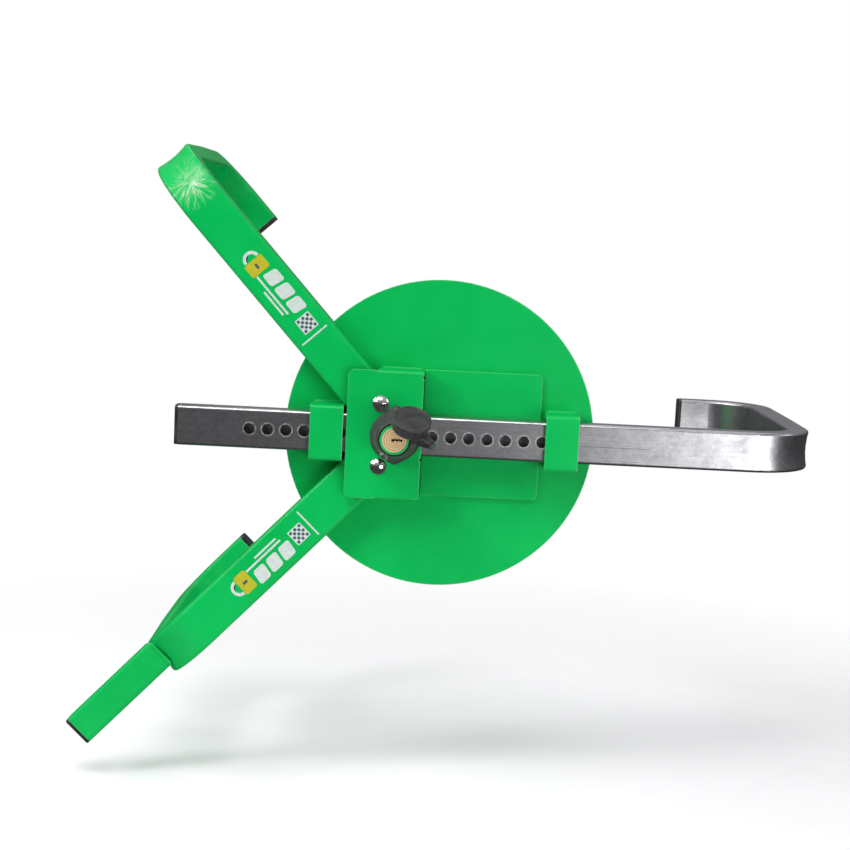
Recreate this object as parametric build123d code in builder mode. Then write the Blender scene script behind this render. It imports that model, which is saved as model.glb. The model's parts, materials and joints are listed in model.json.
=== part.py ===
from build123d import *
from math import cos, radians, sin
import os

# Wheel clamp: a round plate that covers the wheel's nuts, two fixed arms and one sliding arm that
# hook round the tyre, and a key lock that drives a bolt into a row of holes in the sliding arm.
# Frame: millimetres, X along the sliding arm, Z up, the front faces -Y, and the origin is the
# centre of the round plate on its back face, which rests against the wheel.

os.makedirs("parts", exist_ok=True)

# hub plates
disc_radius = 136.5
disc_thickness = 3.0
disc_front = -disc_thickness
base_plate_span = (-14.95, 89.5)
base_plate_bottom = -55.0
base_plate_top = 57.5
base_plate_thickness = 3.5

# tubes, hooks and the tyre that they reach round
tube_depth = 20.0
hook_inner_face = 232.0
hook_finger = 85.0
outer_bend_radius = 57.0
bend_dish = 2.0
bend_recovery = 70.0
fixed_arm_angles = {"upper_arm": 47.7, "lower_arm": -46.3}
fixed_arm_reaches = {"upper_arm": 317.5, "lower_arm": 309.5}
fixed_arm_meeting_x = {"upper_arm": -35.9, "lower_arm": -33.4}
fixed_arm_width = 38.5
fixed_arm_pinched_width = 36.0
fixed_arm_wall = 3.0
fixed_arm_clear_of_slide = 19.0
fixed_arm_corner_x = -83.7
fixed_arm_middle = disc_front - tube_depth / 2

# spur welded to the outside of the lower arm
spur_width = 29.0
spur_wall = 2.5
spur_end = 403.5
spur_offset = -4.4
spur_front = -1.0
spur_middle = spur_front + tube_depth / 2

# sliding arm
slide_width = 35.0
slide_pinched_width = 34.5
slide_wall = 2.5
slide_front = -27.0
slide_middle = slide_front + tube_depth / 2
slide_left_end = -228.7
slide_reach = 333.0
slide_hole_radius = 4.9
slide_hole_pitch = 16.0
slide_hole_count = 17
slide_hole_first = -166.0

# straps that guide the sliding arm
keeper_length = 29.0
keeper_height = 48.8
keeper_thickness = 5.0
keeper_corner = 3.5
keeper_front = -32.5
keeper_middles = {"left_keeper": -98.5, "right_keeper": 107.2}

# cover over the inner ends of the fixed arms
cover_span = (-81.0, -15.0)
cover_flange_start = -55.0
cover_bottom = -56.0
cover_top = 57.0
cover_fold_radius = 2.5
cover_thickness = 4.0
cover_front = -32.0
cover_back = cover_front + cover_thickness
cover_notch_radius = 1.3
cover_edge_radius = 1.2
bolt_x = -52.0
bolt_z = 27.5
bolt_hole_radius = 3.3
bolt_shank_radius = 3.0
bolt_shank_end = -13.5
bolt_square = 6.4
bolt_square_hole = 6.6

# lock, on an axis parallel to Y
lock_x = -38.0
housing_front = -59.0
housing_outer = 12.5
housing_inner = 10.5
body_radius = 10.45
body_back = -43.0
plug_radius = 8.0
plug_flange_radius = 8.8
plug_flange_thickness = 1.5
plug_tail_radius = 4.5
plug_square = 5.0
plug_square_length = 1.6
plug_square_back = -40.4
clip_groove = (-42.1, -42.9)
clip_groove_radius = 3.6
clip_outer_radius = 6.8
screw_radius = 1.0
screw_end = -44.0
body_dowel_y = -46.5
guide_dowel_y = -33.0
dowel_radius = 1.48
dowel_hole_radius = 1.5
running_gap = 0.05
wafer_count = 5
wafer_pitch = 2.6
wafer_first = -55.6
wafer_thickness = 1.2

# helical drive from the key to the bolt
bolt_radius = 4.5
bolt_tip = -28.1
bolt_back = -40.2
bolt_travel = 6.5
key_turn = 90.0
drive_pin_radius = 1.25
drive_pin_y = -37.6
cam_outer = 8.6
cam_span = (-29.1, -41.9)
cam_floor_thickness = 1.5
slot_radius = drive_pin_radius + 0.1

# rubber dust cover: the cap swings on one axis from closed to open
cover_foot_radius = 22.3
collar_radius = 15.2
collar_front = -55.0
cap_radius = 16.8
cap_inner_radius = 15.9
cap_height = 9.5
cap_top = 2.5
cap_face_closed = Vector(lock_x, -62.1, 0)
cap_hinge_point = Vector(-33.659, -48.290, 23.991)
cap_hinge_direction = Vector(-0.83813, -0.39323, 0.37802)
cap_open_angle = 61.244


def front_plane(y, x=0.0, z=0.0):
    """A sketch plane that faces the front: local x is X, local y is Z, and extrusion is to -Y."""
    return Plane(origin=(x, y, z), x_dir=(1, 0, 0), z_dir=(0, -1, 0))


def radial_plane(angle, centre_x=0.0):
    """The plane that an arm is bent in: local x runs outward along the arm, local y is Y."""
    out = Vector(cos(radians(angle)), 0, sin(radians(angle)))
    return Plane(origin=(centre_x, 0, 0), x_dir=out, z_dir=out.cross(Vector(0, 1, 0)))


def across(plane, along, y, direction):
    """A plane square to an arm, at a point of its radial plane, that faces along direction."""
    origin = plane.from_local_coords(Vector(along, y, 0))
    normal = plane.x_dir * direction
    return Plane(origin=origin, x_dir=plane.z_dir, z_dir=normal)


def ring(y_back, y_front, outer, inner=0.0, x=lock_x, z=0.0, mode=Mode.ADD):
    """A round bar or tube along Y inside the part that is being built."""
    with BuildSketch(front_plane(y_back)) as outline:
        with Locations((x, z)):
            Circle(outer)
            if inner > 0:
                Circle(inner, mode=Mode.SUBTRACT)
    extrude(outline.sketch, amount=y_back - y_front, mode=mode)


def save(piece, name):
    piece.part.label = name
    export_step(piece.part, f"parts/{name}.step")


def bent_tube(plane, start, reach, middle, width, pinched, wall):
    """A rectangular tube: out along the arm, back past the tyre, and in again behind it.

    The cold bend at the front leaves the tube's outer wall narrower and dished, out to where the
    leg has recovered its shape.
    """
    bend = outer_bend_radius - tube_depth / 2
    leg = reach - tube_depth / 2
    corner = leg - bend
    leg_start = middle + bend
    full_again = leg_start + bend_recovery
    finger_middle = hook_inner_face + tube_depth / 2
    along_leg = Plane(
        origin=plane.from_local_coords(Vector(leg, leg_start, 0)),
        x_dir=plane.z_dir,
        z_dir=(0, 1, 0),
    )
    half_turned = Plane(
        origin=plane.from_local_coords(
            Vector(corner + bend * sin(radians(45)), leg_start - bend * cos(radians(45)), 0)
        ),
        x_dir=plane.z_dir,
        z_dir=plane.x_dir + Vector(0, 1, 0),
    )

    def section(place, inset, outer_wall=width, dish=0.0):
        """The tube's outline, or its hollow's, with its outer wall as wide and dished as stated."""
        side = width / 2 - inset
        outer_side = outer_wall / 2 - inset
        half_depth = tube_depth / 2 - inset
        with BuildSketch(place) as outline:
            with BuildLine():
                Polyline(
                    (-outer_side, half_depth),
                    (-side, -half_depth),
                    (side, -half_depth),
                    (outer_side, half_depth),
                )
                if dish > 0:
                    ThreePointArc(
                        (outer_side, half_depth), (0, half_depth - dish), (-outer_side, half_depth)
                    )
                else:
                    Line((outer_side, half_depth), (-outer_side, half_depth))
            make_face()
            fillet(outline.vertices(), wall if inset == 0 else 1.0)
        return outline.sketch

    with BuildLine(plane) as bend_line:
        JernArc(start=(corner, middle), tangent=(1, 0), radius=bend, arc_size=90)
    with BuildLine(plane) as rear_line:
        FilletPolyline(
            (leg, full_again),
            (leg, finger_middle),
            (reach - hook_finger, finger_middle),
            radius=bend,
        )
    for inset, mode in ((0, Mode.ADD), (wall, Mode.SUBTRACT)):
        start_face = section(across(plane, start, middle, 1), inset)
        extrude(start_face, amount=corner - start, mode=mode)
        bend_faces = [
            section(across(plane, corner, middle, 1), inset),
            section(half_turned, inset, (width + pinched) / 2, bend_dish),
            section(along_leg, inset, pinched, bend_dish),
        ]
        sweep(bend_faces, path=bend_line.line, multisection=True, mode=mode)
        rear_face = section(along_leg.offset(bend_recovery), inset)
        loft([bend_faces[-1], rear_face], mode=mode)
        sweep(rear_face, path=rear_line.line, mode=mode)


def tube_plug(name, plane, width, wall, insert_length, flange):
    """A plastic plug: a flange over the tube's end and a ribbed insert inside it."""
    inside_width = width - 2 * wall
    inside_depth = tube_depth - 2 * wall
    with BuildPart() as plug:
        with BuildSketch(plane):
            RectangleRounded(width - 0.4, tube_depth - 0.4, wall)
        extrude(amount=flange)
        with BuildSketch(plane):
            RectangleRounded(inside_width - 1.6, inside_depth - 1.6, 1.0)
            RectangleRounded(inside_width - 5.2, inside_depth - 5.2, 0.8, mode=Mode.SUBTRACT)
        extrude(amount=-insert_length)
        for rib in range(3):
            with BuildSketch(plane.offset(-3.0 - rib * (insert_length - 4.5) / 2)):
                RectangleRounded(inside_width - 0.4, inside_depth - 0.4, 1.3)
                RectangleRounded(inside_width - 4.0, inside_depth - 4.0, 0.8, mode=Mode.SUBTRACT)
            extrude(amount=1.2)
    save(plug, name)


# the round plate and the thinner plate on it
with BuildPart() as hub_disc:
    with BuildSketch(front_plane(0)):
        Circle(disc_radius)
    extrude(amount=disc_thickness)
    fillet(hub_disc.edges().filter_by(GeomType.CIRCLE), 0.5)
save(hub_disc, "hub_disc")

with BuildPart() as base_plate:
    plate_length = base_plate_span[1] - base_plate_span[0]
    plate_height = base_plate_top - base_plate_bottom
    with BuildSketch(front_plane(disc_front)) as base_plate_outline:
        with Locations((sum(base_plate_span) / 2, (base_plate_top + base_plate_bottom) / 2)):
            Rectangle(plate_length, plate_height)
        fillet(base_plate_outline.vertices().group_by(Axis.X)[-1], 5.0)
    extrude(amount=base_plate_thickness)
    fillet(base_plate.faces().sort_by(Axis.Y)[0].edges(), 0.8)
save(base_plate, "base_plate")

# the two fixed arms, cut back to leave a lane for the sliding arm, with their plugs
for name, angle in fixed_arm_angles.items():
    side = 1 if angle > 0 else -1
    reach = fixed_arm_reaches[name]
    arm_plane = radial_plane(180 - angle, fixed_arm_meeting_x[name])
    with BuildPart() as arm:
        bent_tube(
            arm_plane,
            0,
            reach,
            fixed_arm_middle,
            fixed_arm_width,
            fixed_arm_pinched_width,
            fixed_arm_wall,
        )
        with BuildSketch(Plane.XY.offset(side * fixed_arm_clear_of_slide)):
            Rectangle(300, 80)
        extrude(amount=-side * 80, mode=Mode.SUBTRACT)
        with BuildSketch(Plane.XY.offset(side * (keeper_height / 2 + 0.5))):
            with Locations((fixed_arm_corner_x, fixed_arm_middle)):
                Rectangle(30, 80, align=(Align.MAX, Align.CENTER))
        extrude(amount=-side * 20, mode=Mode.SUBTRACT)
        with BuildSketch(front_plane(disc_front - tube_depth / 2)):
            with Locations((bolt_x, side * bolt_z)):
                Circle(bolt_hole_radius)
        extrude(amount=tube_depth, mode=Mode.SUBTRACT)
    save(arm, name)
    tip = across(arm_plane, reach - hook_finger, hook_inner_face + tube_depth / 2, -1)
    tube_plug(f"{name}_plug", tip, fixed_arm_width, fixed_arm_wall, 14.0, 3.0)

# the spur that carries on past the lower arm's bend, coped to fit it
lower_plane = radial_plane(
    180 - fixed_arm_angles["lower_arm"], fixed_arm_meeting_x["lower_arm"]
)
bend_start = fixed_arm_reaches["lower_arm"] - outer_bend_radius
spur_plane = lower_plane.offset(spur_offset)
with BuildPart() as spur_bar:
    with BuildSketch(across(spur_plane, bend_start, spur_middle, 1)):
        RectangleRounded(spur_width, tube_depth, 3.5)
        RectangleRounded(
            spur_width - 2 * spur_wall, tube_depth - 2 * spur_wall, 1.2, mode=Mode.SUBTRACT
        )
    extrude(amount=spur_end - bend_start)
    with BuildSketch(lower_plane):
        with Locations((bend_start, disc_front - tube_depth + outer_bend_radius)):
            Circle(outer_bend_radius + running_gap)
    extrude(amount=fixed_arm_width, both=True, mode=Mode.SUBTRACT)
save(spur_bar, "spur_bar")
tube_plug("spur_cap", across(spur_plane, spur_end, spur_middle, 1), spur_width, spur_wall, 12.0, 3.0)

# the sliding arm
slide_plane = radial_plane(0)
slide_plug_plane = across(slide_plane, slide_reach - hook_finger, hook_inner_face + tube_depth / 2, -1)
with BuildPart() as slide_tube:
    bent_tube(
        slide_plane,
        slide_left_end,
        slide_reach,
        slide_middle,
        slide_width,
        slide_pinched_width,
        slide_wall,
    )
    hole_row_middle = slide_hole_first + slide_hole_pitch * (slide_hole_count - 1) / 2
    with BuildSketch(front_plane(slide_front + slide_wall + 2)):
        with Locations((hole_row_middle, 0)):
            with GridLocations(slide_hole_pitch, 1, slide_hole_count, 1):
                Circle(slide_hole_radius)
    extrude(amount=slide_wall + 4, mode=Mode.SUBTRACT)
save(slide_tube, "slide_tube")
tube_plug("slide_plug", slide_plug_plane, slide_width, slide_wall, 14.0, 3.0)
tube_plug(
    "slide_end_cap", across(slide_plane, slide_left_end, slide_middle, -1), slide_width, slide_wall, 14.0, 3.0
)

# the two straps that hold the sliding arm down
for name, middle in keeper_middles.items():
    with BuildPart() as strap:
        with BuildSketch(Plane.YZ.offset(middle - keeper_length / 2)):
            RectangleRounded(-2 * keeper_front, keeper_height, keeper_corner)
            RectangleRounded(
                -2 * (keeper_front + keeper_thickness),
                keeper_height - 2 * keeper_thickness,
                1.2,
                mode=Mode.SUBTRACT,
            )
            with Locations((disc_front, 0)):
                Rectangle(80, 80, align=(Align.MIN, Align.CENTER), mode=Mode.SUBTRACT)
        extrude(amount=keeper_length)
    save(strap, name)

# the cover: a front plate with a flange folded back to the round plate at its top and bottom
with BuildPart() as lock_cover:
    cover_middle = (cover_top + cover_bottom) / 2
    cover_height = cover_top - cover_bottom
    cover_inner_height = cover_height - 2 * cover_thickness
    with BuildSketch(Plane.YZ.offset(cover_flange_start)):
        with Locations((0, cover_middle)):
            RectangleRounded(-2 * cover_front, cover_height, cover_fold_radius)
            RectangleRounded(-2 * cover_back, cover_inner_height, 1.0, mode=Mode.SUBTRACT)
        with Locations((disc_front, 0)):
            Rectangle(80, 150, align=(Align.MIN, Align.CENTER), mode=Mode.SUBTRACT)
    extrude(amount=cover_span[1] - cover_flange_start)
    with BuildSketch(front_plane(cover_back)):
        with Locations(((cover_span[0] + cover_flange_start) / 2, cover_middle)):
            Rectangle(cover_flange_start - cover_span[0], cover_height)
    extrude(amount=cover_thickness)
    left_corners = lock_cover.edges().filter_by(Axis.Y).group_by(Axis.X)[0]
    fillet(left_corners, 6.0)
    right_edges = lock_cover.edges().filter_by(Axis.Z).group_by(Axis.X)[-1]
    fillet(right_edges.sort_by(Axis.Y)[0], cover_edge_radius)
    with BuildSketch(front_plane(cover_back + 1)):
        with Locations((lock_x, 0)):
            Circle(housing_outer + 0.02)
        with Locations((bolt_x, bolt_z), (bolt_x, -bolt_z)):
            Rectangle(bolt_square_hole, bolt_square_hole)
        cover_notch_top = cover_middle + cover_inner_height / 2 - 1
        cover_notch_low = -slide_width / 2 - 2.5
        with Locations((cover_span[1], cover_notch_top), (cover_span[1], cover_notch_low)):
            Circle(cover_notch_radius)
    extrude(amount=cover_thickness + 2, mode=Mode.SUBTRACT)
save(lock_cover, "lock_cover")

# carriage bolts that hold the cover to the fixed arms, with their spacers and nuts
bolt_places = [(bolt_x, bolt_z), (bolt_x, -bolt_z)]
arm_front = disc_front - tube_depth
arm_inside = arm_front + fixed_arm_wall
head_radius = 7.5
head_height = 3.6
head_sphere = (head_radius**2 + head_height**2) / (2 * head_height)
with BuildPart() as cover_bolts:
    for x, z in bolt_places:
        with Locations((x, cover_front + head_sphere - head_height, z)):
            Sphere(head_sphere)
    with BuildSketch(front_plane(cover_front)):
        Rectangle(400, 400)
    extrude(amount=-60, mode=Mode.SUBTRACT)
    with BuildSketch(front_plane(cover_front)):
        with Locations(*bolt_places):
            Rectangle(bolt_square, bolt_square)
    extrude(amount=-(cover_thickness - 0.5))
    for x, z in bolt_places:
        ring(bolt_shank_end, cover_front, bolt_shank_radius, x=x, z=z)
save(cover_bolts, "cover_bolts")

with BuildPart() as bolt_spacers:
    for x, z in bolt_places:
        ring(arm_front, cover_back, 6.0, 3.2, x=x, z=z)
save(bolt_spacers, "bolt_spacers")

with BuildPart() as bolt_nuts:
    with BuildSketch(front_plane(arm_inside + 5.0)):
        with Locations(*bolt_places):
            RegularPolygon(radius=5.0, side_count=6, major_radius=False)
            Circle(3.05, mode=Mode.SUBTRACT)
    extrude(amount=5.0)
save(bolt_nuts, "bolt_nuts")

# lock housing, welded to the cover, and the dowels that hold what is inside it
with BuildPart() as lock_housing:
    ring(cover_back, housing_front, housing_outer, housing_inner)
    with BuildSketch(Plane.XY.offset(-housing_outer - 1)):
        with Locations((lock_x, body_dowel_y)):
            Circle(dowel_hole_radius)
    extrude(amount=4, mode=Mode.SUBTRACT)
    with BuildSketch(Plane.YZ.offset(lock_x - housing_outer - 1)):
        with Locations((guide_dowel_y, 0)):
            Circle(dowel_hole_radius)
    extrude(amount=4, mode=Mode.SUBTRACT)
save(lock_housing, "lock_housing")

with BuildPart() as housing_dowels:
    with BuildSketch(Plane.XY.offset(-12.3)):
        with Locations((lock_x, body_dowel_y)):
            Circle(dowel_radius)
    extrude(amount=3.5)
    with BuildSketch(Plane.YZ.offset(lock_x - 12.3)):
        with Locations((guide_dowel_y, 0)):
            Circle(dowel_radius)
    extrude(amount=3.2)
save(housing_dowels, "housing_dowels")

# brass cylinder body, with a counterbore for the plug's flange and grooves for the wafers
with BuildPart() as cylinder_body:
    ring(body_back, housing_front, body_radius, plug_radius + running_gap)
    flange_seat = housing_front + plug_flange_thickness + running_gap
    ring(flange_seat, housing_front, plug_flange_radius + running_gap, mode=Mode.SUBTRACT)
    with BuildSketch(front_plane(body_back)):
        with Locations((lock_x, 0)):
            Rectangle(19.2, 5.2)
    extrude(amount=body_back - flange_seat, mode=Mode.SUBTRACT)
    with BuildSketch(Plane.XY.offset(-12)):
        with Locations((lock_x, body_dowel_y)):
            Circle(dowel_hole_radius)
    extrude(amount=3.3, mode=Mode.SUBTRACT)
save(cylinder_body, "cylinder_body")


# zig-zag slot for the key, from left of the lock's axis to right of it
keyway_points = [
    (-2.5, -1.2),
    (-0.4, -1.2),
    (0.6, -0.2),
    (2.6, -1.2),
    (3.8, -0.2),
    (5.6, -1.2),
    (7.0, -0.6),
    (7.0, 1.2),
    (5.2, 0.6),
    (3.8, 1.6),
    (2.4, 0.6),
    (0.8, 1.6),
    (-0.8, 0.7),
    (-2.5, 1.6),
]
wafer_places = [wafer_first + index * wafer_pitch for index in range(wafer_count)]
with BuildPart() as key_plug:
    ring(body_back, housing_front + plug_flange_thickness, plug_radius)
    ring(housing_front + plug_flange_thickness, housing_front, plug_flange_radius)
    ring(cam_span[1], body_back, plug_tail_radius)
    with BuildSketch(front_plane(plug_square_back)):
        with Locations((lock_x, 0)):
            Rectangle(plug_square, plug_square)
    extrude(amount=plug_square_length)
    ring(*clip_groove, plug_tail_radius + 0.1, clip_groove_radius, mode=Mode.SUBTRACT)
    ring(plug_square_back, screw_end, screw_radius, mode=Mode.SUBTRACT)
    with BuildSketch(front_plane(-44.5, x=lock_x)):
        with BuildLine():
            Polyline(*keyway_points, close=True)
        make_face()
    extrude(amount=20, mode=Mode.SUBTRACT)
    for y in wafer_places:
        with BuildSketch(front_plane(y + wafer_thickness / 2 + running_gap)):
            with Locations((lock_x, 0)):
                Rectangle(17, 5.1)
            with Locations((lock_x - 2.0, 3.2)):
                Rectangle(6.4, 1.6)
        extrude(amount=wafer_thickness + 2 * running_gap, mode=Mode.SUBTRACT)
save(key_plug, "key_plug")

# wafers that a key lines up, each with a lug that a spring pushes on
with BuildPart() as lock_wafers:
    for y in wafer_places:
        with BuildSketch(front_plane(y + wafer_thickness / 2)):
            with Locations((lock_x, 0)):
                Circle(plug_radius - 0.05)
                Rectangle(20, 4.9, mode=Mode.INTERSECT)
            with Locations((lock_x + 2.25, 0.1)):
                Rectangle(10.1, 3.2, mode=Mode.SUBTRACT)
            with Locations((lock_x + 0.6, 3.1)):
                Rectangle(0.9, 1.4)
        extrude(amount=wafer_thickness)
save(lock_wafers, "lock_wafers")

with BuildPart() as wafer_springs:
    for y in wafer_places:
        with BuildLine():
            coil = Helix(0.8, 4.6, 0.4, center=(lock_x - 4.7, y, 3.25), direction=(1, 0, 0))
        with BuildSketch(Plane(origin=coil @ 0, z_dir=coil % 0)):
            Circle(0.11)
        sweep(path=coil, is_frenet=True)
save(wafer_springs, "wafer_springs")

# retaining clip behind the cylinder body, open at one side
with BuildPart() as plug_clip:
    clip_back = clip_groove[0] - running_gap
    clip_front = clip_groove[1] + running_gap
    ring(clip_back, clip_front, clip_outer_radius, clip_groove_radius + 0.02)
    with BuildSketch(front_plane(clip_groove[0] + 0.1)):
        with Locations((lock_x, -5)):
            Rectangle(5.2, 10)
    extrude(amount=1.0, mode=Mode.SUBTRACT)
save(plug_clip, "plug_clip")

# cam sleeve with two helical slots, turned by the plug's square end
slot_steps = 30
with BuildPart() as cam_sleeve:
    ring(cam_span[0], cam_span[1], cam_outer, bolt_radius + 0.06)
    ring(cam_span[1] + cam_floor_thickness, cam_span[1], cam_outer)
    with BuildSketch(front_plane(cam_span[1] + cam_floor_thickness)):
        with Locations((lock_x, 0)):
            Rectangle(plug_square + 0.1, plug_square + 0.1)
    extrude(amount=cam_floor_thickness, mode=Mode.SUBTRACT)
    for step in range(slot_steps + 1):
        share = step / slot_steps
        turn = radians(key_turn * share)
        centre = (lock_x, drive_pin_y + bolt_travel * share, 0)
        with BuildSketch(Plane(origin=centre, x_dir=(0, 1, 0), z_dir=(-sin(turn), 0, cos(turn)))):
            Circle(slot_radius)
        extrude(amount=12, both=True, mode=Mode.SUBTRACT)
save(cam_sleeve, "cam_sleeve")

with BuildPart() as cam_screw:
    screw_head_back = plug_square_back + 0.9
    ring(screw_head_back, plug_square_back, 2.5)
    ring(plug_square_back, screw_end + 0.2, screw_radius - 0.02)
    with BuildSketch(front_plane(screw_head_back)):
        with Locations((lock_x, 0)):
            RegularPolygon(radius=1.0, side_count=6)
    extrude(amount=0.6, mode=Mode.SUBTRACT)
save(cam_screw, "cam_screw")

# sleeve round the cam: its straight slots stop the bolt turning, and its lip guides the bolt
with BuildPart() as bolt_guide:
    ring(cover_back, -40.5, body_radius, cam_outer + 0.06)
    ring(cover_back, cover_back - 1.0, body_radius, bolt_radius + 0.06)
    with BuildSketch(Plane.XY.offset(-12)):
        slot_low = drive_pin_y
        slot_high = drive_pin_y + bolt_travel
        with Locations((lock_x, (slot_low + slot_high) / 2)):
            SlotOverall(bolt_travel + 2 * slot_radius, 2 * slot_radius, rotation=90)
    extrude(amount=24, mode=Mode.SUBTRACT)
    with BuildSketch(Plane.YZ.offset(lock_x - 12)):
        with Locations((guide_dowel_y, 0)):
            Circle(dowel_hole_radius)
    extrude(amount=3.2, mode=Mode.SUBTRACT)
save(bolt_guide, "bolt_guide")

with BuildPart() as lock_bolt:
    ring(bolt_tip, bolt_back, bolt_radius)
    chamfer(lock_bolt.faces().sort_by(Axis.Y)[-1].edges(), 0.8)
    ring(bolt_back + 1.3, bolt_back, 2.9, mode=Mode.SUBTRACT)
    with BuildSketch(Plane.XY.offset(-6)):
        with Locations((lock_x, drive_pin_y)):
            Circle(drive_pin_radius + 0.01)
    extrude(amount=12, mode=Mode.SUBTRACT)
save(lock_bolt, "lock_bolt")

with BuildPart() as drive_pin:
    with BuildSketch(Plane.XY.offset(-10.2)):
        with Locations((lock_x, drive_pin_y)):
            Circle(drive_pin_radius)
    extrude(amount=20.4)
save(drive_pin, "drive_pin")

# rubber collar of the dust cover: a flared foot, a cone and a lip, with a lobe above and below
with BuildPart() as dust_collar:
    with BuildSketch(Plane(origin=(lock_x, 0, 0), x_dir=(1, 0, 0), z_dir=(0, 0, 1))):
        with BuildLine():
            Polyline(
                (housing_outer + 0.05, cover_front),
                (cover_foot_radius, cover_front),
                (cover_foot_radius, cover_front - 2.2),
                (cover_foot_radius - 1.2, cover_front - 4.5),
                (collar_radius + 1.0, -46.5),
                (collar_radius - 0.6, -48.5),
                (collar_radius - 0.6, -51.0),
                (collar_radius, -52.0),
                (collar_radius - 0.4, collar_front),
                (housing_outer + 0.05, collar_front),
                close=True,
            )
        make_face()
    revolve(axis=Axis((lock_x, 0, 0), (0, 1, 0)), revolution_arc=360)
    for lobe_reach, lobe_side in ((27.0, 1), (25.0, -1)):
        with BuildSketch(front_plane(cover_front)):
            with Locations((lock_x, 0)):
                Circle(cover_foot_radius)
            with Locations((lock_x, lobe_side * (lobe_reach - 5.0))):
                Circle(5.0)
            make_hull()
            with Locations((lock_x, 0)):
                Circle(housing_outer + 2, mode=Mode.SUBTRACT)
        extrude(amount=2.2)
save(dust_collar, "dust_collar")


def turned(vector, degrees_round):
    """A direction turned about the cap's hinge direction."""
    turn = radians(degrees_round)
    along = cap_hinge_direction * cap_hinge_direction.dot(vector) * (1 - cos(turn))
    return vector * cos(turn) + cap_hinge_direction.cross(vector) * sin(turn) + along


# the cap, standing open: a shallow cup with a finger tab and, opposite it, a root for its strap
cap_face = cap_hinge_point + turned(cap_face_closed - cap_hinge_point, cap_open_angle)
cap_normal = turned(Vector(0, -1, 0), cap_open_angle)
cap_across = turned(Vector(1, 0, 0), cap_open_angle)
cap_plane = Plane(origin=cap_face, x_dir=cap_across, z_dir=cap_normal)
tab_angle = 105.0
with BuildPart() as dust_cap:
    with BuildSketch(cap_plane):
        Circle(cap_radius)
    extrude(amount=-cap_height)
    fillet(dust_cap.edges().filter_by(GeomType.CIRCLE), 1.2)
    with BuildSketch(cap_plane.offset(-cap_top)):
        Circle(cap_inner_radius - 0.6)
    extrude(amount=-cap_height, mode=Mode.SUBTRACT)
    with BuildSketch(cap_plane.offset(-cap_height + 2.5)):
        for turn, reach in ((tab_angle, 21.5), (tab_angle + 180, 20.5)):
            with PolarLocations(reach - 4.0, 1, start_angle=turn):
                Circle(4.0)
            with PolarLocations(reach - 8.0, 1, start_angle=turn):
                Rectangle(8.0, 8.0)
        Circle(cap_radius - 0.6, mode=Mode.SUBTRACT)
    extrude(amount=-2.4)
save(dust_cap, "dust_cap")

# the strap that ties the cap to the collar
strap_end = cap_plane.from_local_coords(
    Vector(23.0 * cos(radians(tab_angle + 180)), 23.0 * sin(radians(tab_angle + 180)), -8.2)
)
strap_route = [
    Vector(lock_x + 22.6, cover_front - 1.6, -4.0),
    Vector(lock_x + 31.5, cover_front - 2.6, -5.5),
    Vector(lock_x + 34.5, cover_front - 18.0, -6.0),
    Vector(lock_x + 33.5, cover_front - 36.0, -1.5),
    strap_end,
]
with BuildPart() as dust_strap:
    with BuildLine() as strap_line:
        FilletPolyline(*strap_route, radius=4.5)
    with BuildSketch(Plane(origin=strap_line.line @ 0, x_dir=(0, 0, 1), z_dir=strap_line.line % 0)):
        RectangleRounded(7.0, 2.2, 0.9)
    sweep(path=strap_line.line)
save(dust_strap, "dust_strap")
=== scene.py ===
import json
from math import asin, atan2, cos, exp, pi, radians, sin, sqrt

import bmesh
import bpy
from mathutils import Matrix, Vector, noise


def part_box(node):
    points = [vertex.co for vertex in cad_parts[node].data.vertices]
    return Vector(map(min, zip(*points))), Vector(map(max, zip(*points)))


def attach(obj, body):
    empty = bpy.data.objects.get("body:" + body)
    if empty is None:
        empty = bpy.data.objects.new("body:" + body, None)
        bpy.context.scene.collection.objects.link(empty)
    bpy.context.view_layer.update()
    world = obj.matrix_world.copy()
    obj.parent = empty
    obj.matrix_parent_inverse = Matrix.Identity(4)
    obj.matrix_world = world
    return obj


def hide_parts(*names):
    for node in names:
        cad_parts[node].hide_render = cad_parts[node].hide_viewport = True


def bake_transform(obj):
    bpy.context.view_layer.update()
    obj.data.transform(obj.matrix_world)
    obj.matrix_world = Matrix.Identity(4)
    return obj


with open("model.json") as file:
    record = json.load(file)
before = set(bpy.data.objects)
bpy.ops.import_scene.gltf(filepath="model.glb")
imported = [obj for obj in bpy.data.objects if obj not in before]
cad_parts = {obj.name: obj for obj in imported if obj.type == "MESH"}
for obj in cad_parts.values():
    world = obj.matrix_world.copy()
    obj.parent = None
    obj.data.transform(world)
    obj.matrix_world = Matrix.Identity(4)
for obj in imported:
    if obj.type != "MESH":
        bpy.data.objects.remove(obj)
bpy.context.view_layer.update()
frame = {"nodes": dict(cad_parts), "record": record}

# Wheel clamp, in metres: X along the sliding arm, Z up, and the front faces -Y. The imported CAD
# parts stay as they are and get their materials here. The rubber dust cover, the weld beads and
# the stickers are built here.

nodes = frame["nodes"]
MM = 0.001

# ---------------------------------------------------------------- places taken from the frame


def box_of(name):
    low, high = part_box(name)
    return Vector(low), Vector(high)


housing_low, housing_high = box_of("lock_housing")
lock_x = (housing_low.x + housing_high.x) / 2
lock_front = housing_low.y
housing_radius = (housing_high.x - housing_low.x) / 2
cover_low, cover_high = box_of("lock_cover")
cover_front = cover_low.y
disc_low = box_of("hub_disc")[0]
slide_low = box_of("slide_tube")[0]
tube_depth = 20 * MM
arm_front = disc_low.y - tube_depth

# the two fixed arms: their directions outward from the point where their middle lines meet
bend_radius = 57 * MM


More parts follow.
